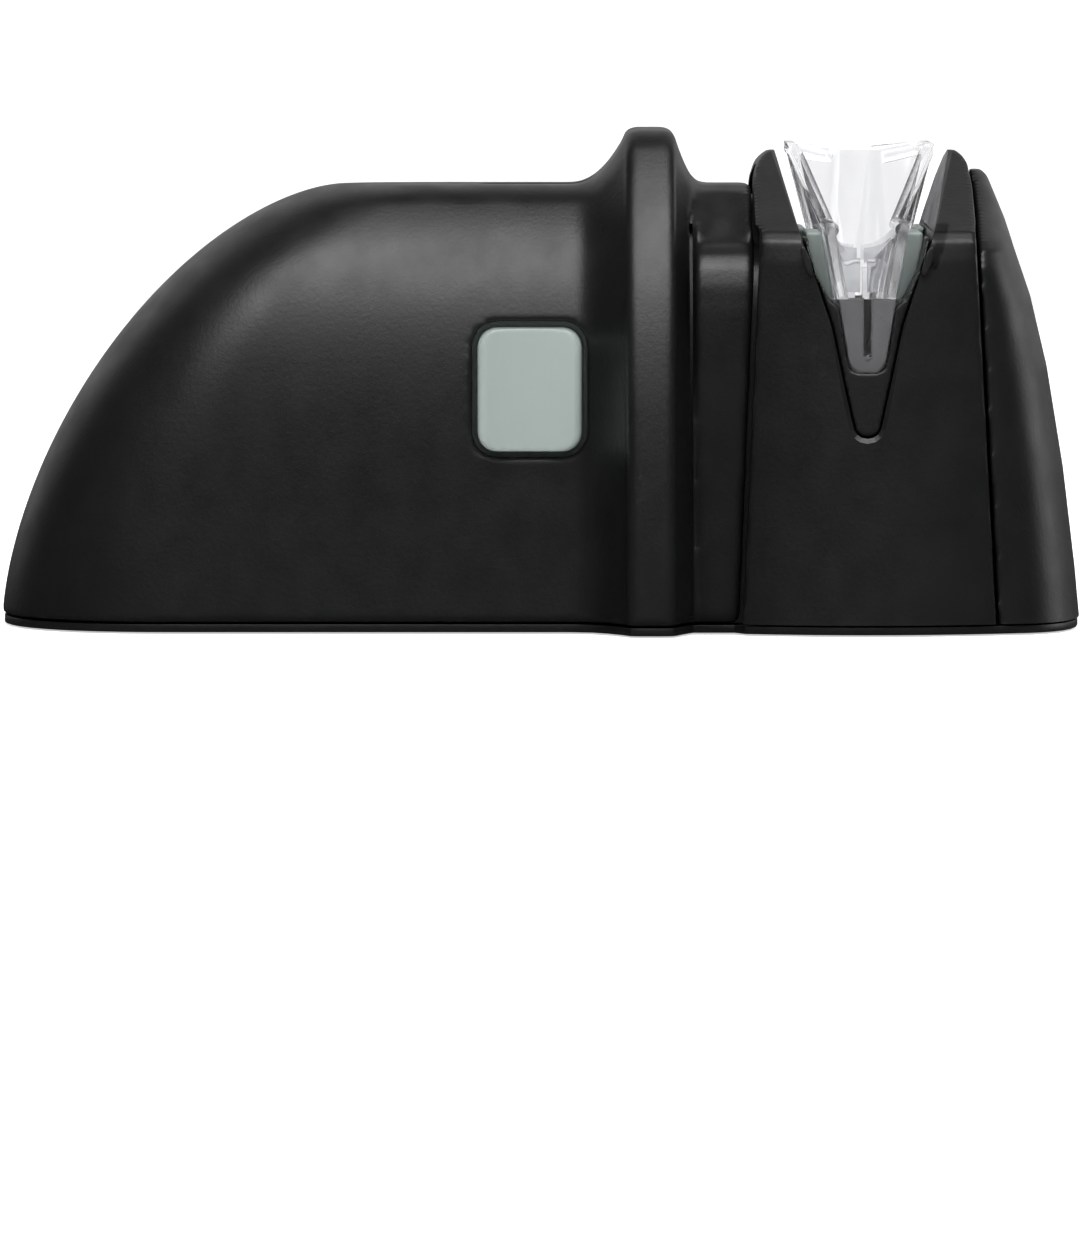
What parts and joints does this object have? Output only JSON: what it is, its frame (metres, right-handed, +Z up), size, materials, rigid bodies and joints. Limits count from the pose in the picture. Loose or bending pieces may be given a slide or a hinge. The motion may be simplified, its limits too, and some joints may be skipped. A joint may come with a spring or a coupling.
{
  "type": "battery electric knife sharpener",
  "caption": "Battery-powered electric knife sharpener: black grip with a thumb button and light window, hand guard, and a V-slot head with a clear lift-off blade guide over two grinding wheels.",
  "frame": {"origin": "centre of the footprint, on the table under the rubber feet", "axes": "+X along the length towards the sharpening head, -Y the side with the thumb button, +Z up"},
  "size_m": [0.1697, 0.106, 0.078],
  "materials": {
    "soft_black": "fine satin, moulded",
    "inner_black": "matt, moulded",
    "sage_grey": "satin, moulded",
    "clear_plastic": "clear moulded plastic",
    "light_lens": "frosted, lets light through",
    "steel": "plated",
    "brass": "turned",
    "grinding_stone": "coarse bonded abrasive",
    "motor_steel": "plated sheet",
    "nylon": "moulded nylon",
    "rubber": "matt",
    "board_green": "solder mask",
    "cell_label": "plastic sleeve, plain"
  },
  "bodies": {
    "housing": {"main_housing": "soft_black", "head_cover": "soft_black", "end_cap": "soft_black", "base_plate": "soft_black", "slot_liner_front": "inner_black", "slot_liner_rear": "inner_black", "guide_clip_left": "inner_black", "guide_clip_right": "inner_black", "battery_tray": "inner_black", "motor_end_cap": "inner_black", "motor_mount": "inner_black", "chassis": "inner_black", "swarf_tray": "inner_black", "switch_body": "inner_black", "window_frame": "sage_grey", "guide_cradle": "sage_grey", "window_lens": "light_lens", "indicator_led": "light_lens", "base_screw_1": "steel", "base_screw_2": "steel", "base_screw_3": "steel", "base_screw_4": "steel", "contact_spring_1": "steel", "contact_spring_2": "steel", "contact_spring_3": "steel", "contact_spring_4": "steel", "contact_plate_left": "steel", "contact_plate_right": "steel", "motor_screw_1": "steel", "motor_screw_2": "steel", "channel_screw_1": "steel", "channel_screw_2": "steel", "bushing_left": "brass", "bushing_right": "brass", "motor_can": "motor_steel", "rubber_foot_1": "rubber", "rubber_foot_2": "rubber", "rubber_foot_3": "rubber", "rubber_foot_4": "rubber", "circuit_board": "board_green", "battery_cell_1": "cell_label", "battery_cell_2": "cell_label", "battery_cell_3": "cell_label", "battery_cell_4": "cell_label"},
    "switch_button": {"button_cap": "sage_grey", "switch_plunger": "inner_black", "button_spring": "steel"},
    "spindle_group": {"spindle": "steel", "wheel_left": "grinding_stone", "wheel_right": "grinding_stone", "wheel_spacer": "steel", "wheel_nut_left": "steel", "wheel_nut_right": "steel", "drive_gear": "nylon"},
    "motor_rotor": {"motor_shaft": "steel", "pinion": "brass"},
    "guide": {"blade_guide": "clear_plastic"},
    "door": {"battery_door": "soft_black"}
  },
  "joints": [
    {"name": "button_press", "type": "slide", "parent": "housing", "child": "switch_button", "axis": [0, 1, 0], "range_m": [0, 0.002], "stiffness_N_per_m": 600, "springref_m": -0.001, "deforming": ["button_spring"]},
    {"name": "spindle_spin", "type": "hinge", "parent": "housing", "child": "spindle_group", "pos_m": [0.0507, -0.003, 0.032], "axis": [1, 0, 0], "continuous": true},
    {"name": "motor_spin", "type": "hinge", "parent": "housing", "child": "motor_rotor", "pos_m": [0.012, -0.003, 0.046], "axis": [1, 0, 0], "continuous": true},
    {"name": "guide_lift", "type": "slide", "parent": "housing", "child": "guide", "axis": [0, 0, 1], "range_m": [0, 0.04]},
    {"name": "door_swing", "type": "hinge", "parent": "housing", "child": "door", "pos_m": [-0.0053, 0, 0.0012], "axis": [0, -1, 0], "range_deg": [0, 95]}
  ],
  "couplings": [
    {"joint": "motor_spin", "follows": "spindle_spin", "ratio": -3}
  ]
}
